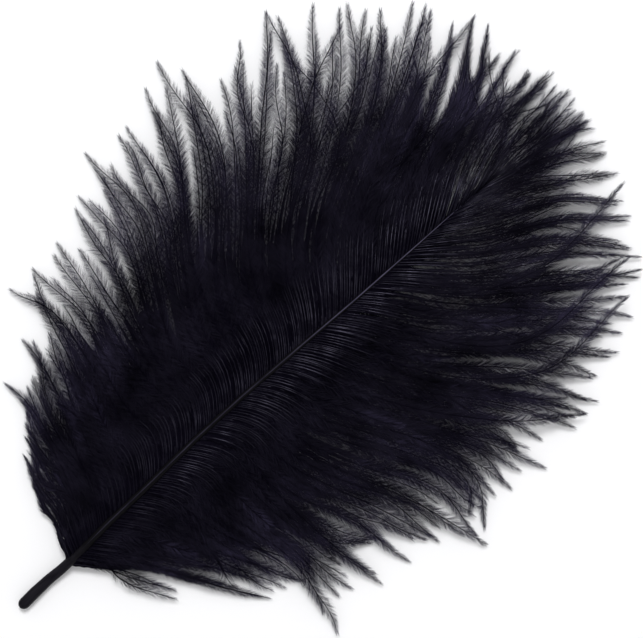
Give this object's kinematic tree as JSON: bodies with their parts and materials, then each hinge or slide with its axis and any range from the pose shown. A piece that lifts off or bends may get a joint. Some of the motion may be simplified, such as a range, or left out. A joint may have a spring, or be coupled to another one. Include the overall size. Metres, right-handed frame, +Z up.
{
  "type": "ostrich feather",
  "caption": "Black-dyed ostrich feather lying flat: short bare quill, gently arched shaft and two loose, drooping vanes of soft barbs.",
  "frame": {"origin": "middle of the feather's footprint, on the surface that it lies on", "axes": "+Y along the shaft from the quill's end to the tip, +X across the vanes, +Z up from the surface"},
  "size_m": [0.1421, 0.1838, 0.0129],
  "materials": {
    "dyed_barbs": "soft, near-black with a faint violet sheen"
  },
  "bodies": {
    "root": {"feather": "dyed_barbs"}
  },
  "joints": []
}
